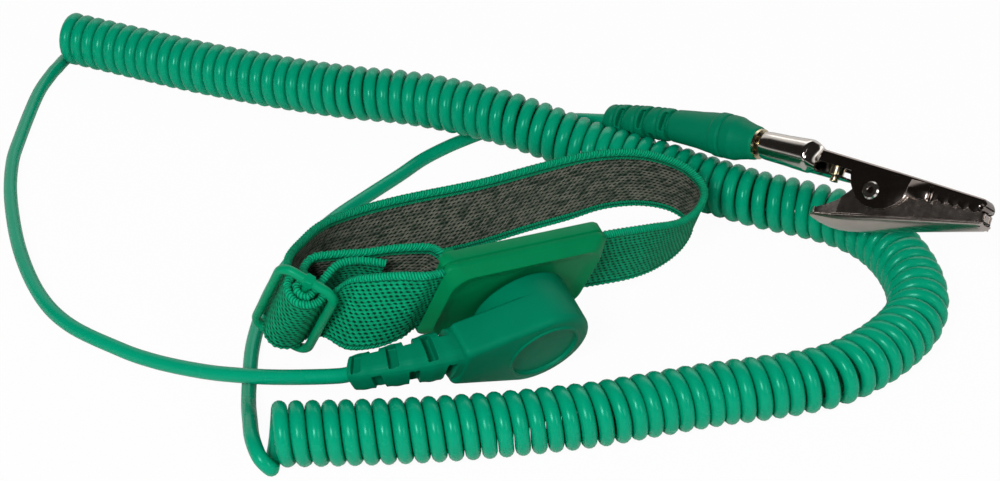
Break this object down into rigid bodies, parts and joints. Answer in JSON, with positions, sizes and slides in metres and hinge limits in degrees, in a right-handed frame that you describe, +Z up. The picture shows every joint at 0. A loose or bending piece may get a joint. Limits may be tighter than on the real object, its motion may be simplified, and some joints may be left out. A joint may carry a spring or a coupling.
{
  "type": "esd wrist strap",
  "caption": "Green elastic wrist strap with a snap connector, a curly ground cord, a banana plug and an alligator clip.",
  "frame": {"origin": "on the table, under the middle of the box round the wrist strap and its connector", "axes": "+X to the right along the strap and +Y away from the side that the connector faces, +Z up"},
  "size_m": [0.2122, 0.1653, 0.0312],
  "materials": {
    "webbing": "woven",
    "housing": "satin",
    "overmould": "satin",
    "cord": "satin",
    "premould": "matt",
    "resistor": "lacquered",
    "nickel": "nickel plated",
    "stainless": "polished",
    "brass": "plated",
    "copper": "tinned"
  },
  "bodies": {
    "cord_set": {"connector_shell": "overmould", "premould": "premould", "snap_socket": "nickel", "resistor_body": "resistor", "resistor_leads": "nickel", "terminal_tab": "nickel", "splice_crimp": "brass", "core_wrist": "copper", "lead_wrist": "cord", "curly_cord": "cord", "lead_clip": "cord", "core_clip": "copper", "plug_boot": "overmould", "plug_pin": "brass"},
    "socket_ring": {"socket_spring": "stainless"},
    "wristband": {"webbing": "webbing", "plate_housing": "housing", "contact_plate": "stainless", "snap_stud": "nickel", "stud_rivet": "nickel"},
    "slider": {"slider_buckle": "housing"},
    "plug_ring": {"plug_spring": "brass"},
    "clip": {"upper_jaw": "nickel", "jaw_rivet": "nickel", "jaw_spring": "stainless", "barrel_screw": "nickel"},
    "jaw": {"lower_jaw": "nickel"}
  },
  "joints": [
    {"name": "snap_swivel", "type": "hinge", "parent": "cord_set", "child": "socket_ring", "pos_m": [0.0054, -0.0138, 0.0136], "axis": [-0.4487, 0.8096, 0.3785], "range_deg": [0, 60]},
    {"name": "snap_pull", "type": "slide", "parent": "socket_ring", "child": "wristband", "axis": [-0.4487, 0.8096, 0.3785], "range_m": [0, 0.003], "deforming": ["socket_spring"]},
    {"name": "slider_slide", "type": "slide", "parent": "wristband", "child": "slider", "axis": [0.96, 0, 0.28], "range_m": [0, 0.012], "deforming": ["webbing"]},
    {"name": "plug_turn", "type": "hinge", "parent": "cord_set", "child": "plug_ring", "pos_m": [0.0584, 0.0356, 0.0192], "axis": [-0.751, 0.6415, -0.1564], "range_deg": [0, 90]},
    {"name": "clip_pull", "type": "slide", "parent": "plug_ring", "child": "clip", "axis": [0.751, -0.6415, 0.1564], "range_m": [0, 0.016], "deforming": ["plug_spring"]},
    {"name": "jaw_open", "type": "hinge", "parent": "clip", "child": "jaw", "pos_m": [0.08049, 0.01305, 0.02074], "axis": [0.5768, 0.5221, -0.6283], "range_deg": [0, 18], "stiffness_Nm_per_rad": 0.05, "deforming": ["jaw_spring"]}
  ]
}
